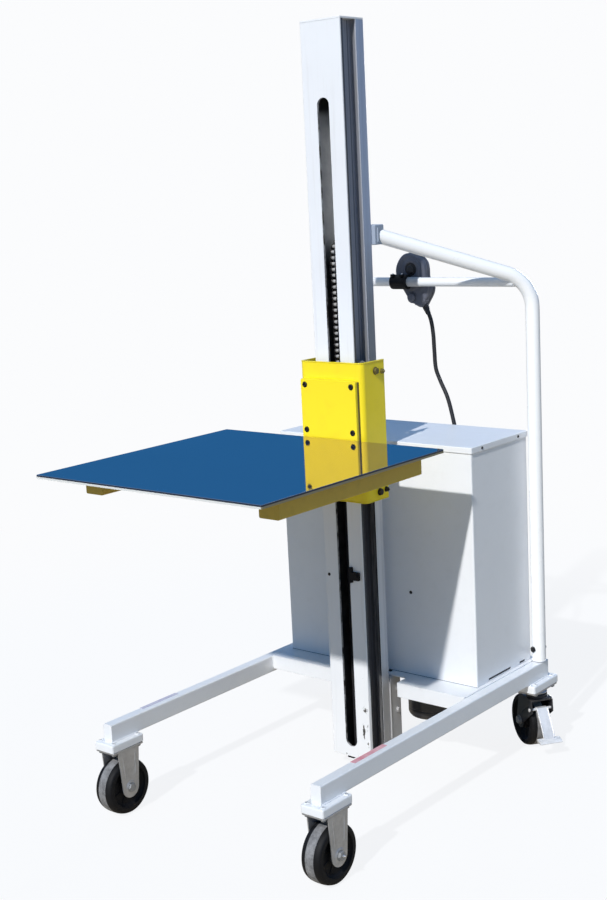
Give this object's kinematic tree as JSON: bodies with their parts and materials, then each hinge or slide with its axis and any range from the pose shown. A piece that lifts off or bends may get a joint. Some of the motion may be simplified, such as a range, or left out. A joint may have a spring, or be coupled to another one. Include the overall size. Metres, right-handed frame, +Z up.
{
  "type": "powered platform lift",
  "caption": "Mobile powered platform lift: slotted mast on a wide caster base, roller carriage with a flat load platform, power cabinet behind and a bent tube handle with wired control.",
  "frame": {"origin": "on the floor below the middle of the lift's footprint; the mast's middle is at Y = +0.135 m", "axes": "+Z up; -Y is the front, where the platform and the legs' front casters are; +Y the rear with cabinet and handle; +X is to the right when looking at the front"},
  "size_m": [0.7321, 1.0417, 1.682],
  "materials": {
    "white_paint": "off-white powder coat, slightly chipped at the mast slot",
    "yellow_paint": "yellow gloss paint",
    "blue_paint": "deep blue gloss paint",
    "black_paint": "satin black paint",
    "zinc_plate": "bright zinc plate",
    "machined_steel": "machined steel, lightly oiled",
    "hard_chrome": "hard-chromed ram rod",
    "chain_steel": "dark oiled chain steel",
    "black_plastic": "moulded black plastic",
    "grey_plastic": "moulded dark grey plastic",
    "wheel_rubber": "black moulded wheel",
    "hose_rubber": "black rubber sheath",
    "battery_plastic": "black battery case"
  },
  "bodies": {
    "base": {"leg_left": "white_paint", "leg_right": "white_paint", "deck_tray": "white_paint", "rear_cross_tube": "white_paint", "mast_foot_bracket": "white_paint", "mast_section": "white_paint", "mast_top_cap": "white_paint", "cabinet_body": "white_paint", "cabinet_lid": "white_paint", "handle_tube_left": "white_paint", "handle_tube_right": "white_paint", "handle_crossbar": "white_paint", "limit_switch": "black_plastic", "ram_cylinder": "machined_steel", "chain_anchor": "machined_steel", "chain_rear_strand": "chain_steel", "battery": "battery_plastic", "pump_motor": "black_paint", "pump_and_reservoir": "machined_steel", "hydraulic_hose": "hose_rubber", "control_housing": "grey_plastic", "control_clamp": "black_plastic", "control_cord": "hose_rubber", "front_fork_left": "zinc_plate", "front_fork_right": "zinc_plate", "front_axle_left": "zinc_plate", "front_axle_right": "zinc_plate", "rear_caster_plate_left": "zinc_plate", "rear_caster_plate_right": "zinc_plate"},
    "crosshead": {"crosshead": "machined_steel", "ram_rod": "hard_chrome", "chain_wheel_pin": "zinc_plate", "chain_front_strand": "chain_steel"},
    "chain_wheel": {"chain_wheel": "machined_steel"},
    "carriage": {"carriage_housing": "yellow_paint", "roller_axle_left_lower": "zinc_plate", "roller_axle_left_upper": "zinc_plate", "roller_axle_right_lower": "zinc_plate", "roller_axle_right_upper": "zinc_plate", "platform_bracket_plate": "yellow_paint", "platform_cross_beam": "yellow_paint", "platform_arm_left": "yellow_paint", "platform_arm_right": "yellow_paint", "platform": "blue_paint"},
    "roller_left_lower": {"roller_left_lower": "machined_steel"},
    "roller_left_upper": {"roller_left_upper": "machined_steel"},
    "roller_right_lower": {"roller_right_lower": "machined_steel"},
    "roller_right_upper": {"roller_right_upper": "machined_steel"},
    "front_wheel_left": {"front_wheel_left": "wheel_rubber"},
    "swivel_left": {"swivel_fork_left": "black_paint", "rear_axle_left": "zinc_plate"},
    "rear_wheel_left": {"rear_wheel_left": "wheel_rubber"},
    "brake_pedal_left": {"brake_pedal_left": "zinc_plate"},
    "front_wheel_right": {"front_wheel_right": "wheel_rubber"},
    "swivel_right": {"swivel_fork_right": "black_paint", "rear_axle_right": "zinc_plate"},
    "rear_wheel_right": {"rear_wheel_right": "wheel_rubber"},
    "brake_pedal_right": {"brake_pedal_right": "zinc_plate"},
    "up_button": {"up_button": "black_plastic"},
    "down_button": {"down_button": "black_plastic"}
  },
  "joints": [
    {"name": "ram_lift", "type": "slide", "parent": "base", "child": "crosshead", "axis": [0, 0, 1], "range_m": [-0.2667, 0.2667], "deforming": ["chain_rear_strand"]},
    {"name": "carriage_lift", "type": "slide", "parent": "crosshead", "child": "carriage", "axis": [0, 0, 1], "range_m": [-0.2667, 0.2667], "deforming": ["chain_front_strand"]},
    {"name": "chain_wheel_spin", "type": "hinge", "parent": "crosshead", "child": "chain_wheel", "pos_m": [0, 0.1335, 1.19], "axis": [1, 0, 0], "continuous": true},
    {"name": "roller_left_lower_spin", "type": "hinge", "parent": "carriage", "child": "roller_left_lower", "pos_m": [-0.045, 0.124, 0.664], "axis": [1, 0, 0], "continuous": true},
    {"name": "roller_left_upper_spin", "type": "hinge", "parent": "carriage", "child": "roller_left_upper", "pos_m": [-0.045, 0.124, 0.934], "axis": [1, 0, 0], "continuous": true},
    {"name": "roller_right_lower_spin", "type": "hinge", "parent": "carriage", "child": "roller_right_lower", "pos_m": [0.045, 0.124, 0.664], "axis": [1, 0, 0], "continuous": true},
    {"name": "roller_right_upper_spin", "type": "hinge", "parent": "carriage", "child": "roller_right_upper", "pos_m": [0.045, 0.124, 0.934], "axis": [1, 0, 0], "continuous": true},
    {"name": "front_wheel_left_spin", "type": "hinge", "parent": "base", "child": "front_wheel_left", "pos_m": [-0.2895, -0.3625, 0.0625], "axis": [1, 0, 0], "continuous": true},
    {"name": "caster_swivel_left", "type": "hinge", "parent": "base", "child": "swivel_left", "pos_m": [-0.2895, 0.435, 0.136], "axis": [0, 0, 1], "continuous": true},
    {"name": "rear_wheel_left_spin", "type": "hinge", "parent": "swivel_left", "child": "rear_wheel_left", "pos_m": [-0.31056, 0.46295, 0.0625], "axis": [-0.7986, -0.6018, 0], "continuous": true},
    {"name": "brake_pedal_left_press", "type": "hinge", "parent": "swivel_left", "child": "brake_pedal_left", "pos_m": [-0.27566, 0.41663, 0.106], "axis": [0.7986, 0.6018, 0], "range_deg": [0, 10], "stiffness_Nm_per_rad": 2},
    {"name": "front_wheel_right_spin", "type": "hinge", "parent": "base", "child": "front_wheel_right", "pos_m": [0.2895, -0.3625, 0.0625], "axis": [1, 0, 0], "continuous": true},
    {"name": "caster_swivel_right", "type": "hinge", "parent": "base", "child": "swivel_right", "pos_m": [0.2895, 0.435, 0.136], "axis": [0, 0, 1], "continuous": true},
    {"name": "rear_wheel_right_spin", "type": "hinge", "parent": "swivel_right", "child": "rear_wheel_right", "pos_m": [0.26083, 0.45508, 0.0625], "axis": [-0.5736, -0.8192, 0], "continuous": true},
    {"name": "brake_pedal_right_press", "type": "hinge", "parent": "swivel_right", "child": "brake_pedal_right", "pos_m": [0.30834, 0.42181, 0.106], "axis": [0.5736, 0.8192, 0], "range_deg": [0, 10], "stiffness_Nm_per_rad": 2},
    {"name": "up_button_press", "type": "slide", "parent": "base", "child": "up_button", "axis": [0, 1, 0], "range_m": [0, 0.003], "stiffness_N_per_m": 300},
    {"name": "down_button_press", "type": "slide", "parent": "base", "child": "down_button", "axis": [0, 1, 0], "range_m": [0, 0.003], "stiffness_N_per_m": 300}
  ],
  "couplings": [
    {"joint": "carriage_lift", "follows": "ram_lift", "ratio": 1},
    {"joint": "chain_wheel_spin", "follows": "ram_lift", "rad_per_m": -37.686},
    {"joint": "roller_left_lower_spin", "follows": "ram_lift", "rad_per_m": -94.34},
    {"joint": "roller_left_upper_spin", "follows": "ram_lift", "rad_per_m": 94.34},
    {"joint": "roller_right_lower_spin", "follows": "ram_lift", "rad_per_m": -94.34},
    {"joint": "roller_right_upper_spin", "follows": "ram_lift", "rad_per_m": 94.34}
  ]
}
